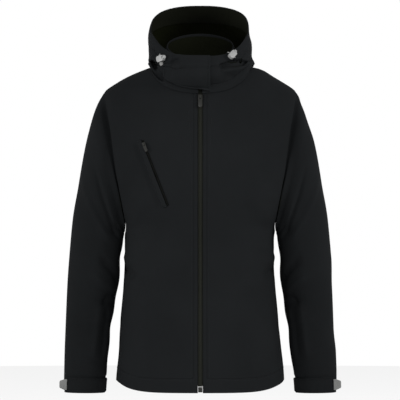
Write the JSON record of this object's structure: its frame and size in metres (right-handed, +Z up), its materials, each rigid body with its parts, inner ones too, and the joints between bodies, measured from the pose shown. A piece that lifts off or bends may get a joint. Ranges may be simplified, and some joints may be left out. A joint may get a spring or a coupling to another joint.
{
  "type": "softshell jacket",
  "caption": "Women's hooded softshell jacket in worn form with nobody in it: side panels, full front zip, slanted chest zip pocket, strapped cuffs and corded hood",
  "frame": {"origin": "the middle of the neck opening, level with the shoulder seams, where the wearer's neck holds the jacket up", "axes": "+Z up, -Y towards the front with the zip, +X towards the wearer's left"},
  "size_m": [0.588, 0.3081, 0.8174],
  "materials": {
    "shell": "matte woven softshell",
    "zip": "satin tape and coil",
    "slider": "satin dark grey",
    "lock": "satin moulded grey",
    "cord": "braided elastic"
  },
  "bodies": {
    "jacket": {"front_right": "shell", "side_right": "shell", "front_left": "shell", "side_left": "shell", "back": "shell", "sleeve_right": "shell", "sleeve_left": "shell", "collar": "shell", "hood_side_right": "shell", "hood_side_left": "shell", "hood_centre": "shell", "hood_chin_flap": "shell", "chest_pocket_welt": "shell", "cuff_strap_right": "shell", "cuff_strap_left": "shell", "front_zip": "zip", "chest_pocket_zip": "zip", "zip_retainer": "slider", "front_zip_slider": "slider", "chest_pocket_slider": "slider", "cuff_tab_right": "lock", "cuff_tab_left": "lock", "cord_lock_right": "lock", "cord_lock_left": "lock", "hood_cord_right": "cord", "hood_cord_left": "cord"},
    "front_zip_pull": {"front_zip_pull": "slider"},
    "chest_pocket_pull": {"chest_pocket_pull": "slider"},
    "cord_plunger_right": {"cord_plunger_right": "lock"},
    "cord_plunger_left": {"cord_plunger_left": "lock"}
  },
  "joints": [
    {"name": "front_zip_pull_swing", "type": "hinge", "parent": "jacket", "child": "front_zip_pull", "pos_m": [0, -0.07184, -0.04193], "axis": [-1, 0, 0], "range_deg": [0, 110]},
    {"name": "chest_pocket_pull_swing", "type": "hinge", "parent": "jacket", "child": "chest_pocket_pull", "pos_m": [-0.11679, -0.10413, -0.14082], "axis": [-0.904, 0.1281, -0.4078], "range_deg": [0, 150]},
    {"name": "cord_plunger_right_press", "type": "slide", "parent": "jacket", "child": "cord_plunger_right", "axis": [-0.71, 0.6431, -0.2869], "range_m": [0, 0.0025], "stiffness_N_per_m": 400, "springref_m": -0.002},
    {"name": "cord_plunger_left_press", "type": "slide", "parent": "jacket", "child": "cord_plunger_left", "axis": [-0.5507, -0.4839, -0.6801], "range_m": [0, 0.0025], "stiffness_N_per_m": 400, "springref_m": -0.002}
  ]
}
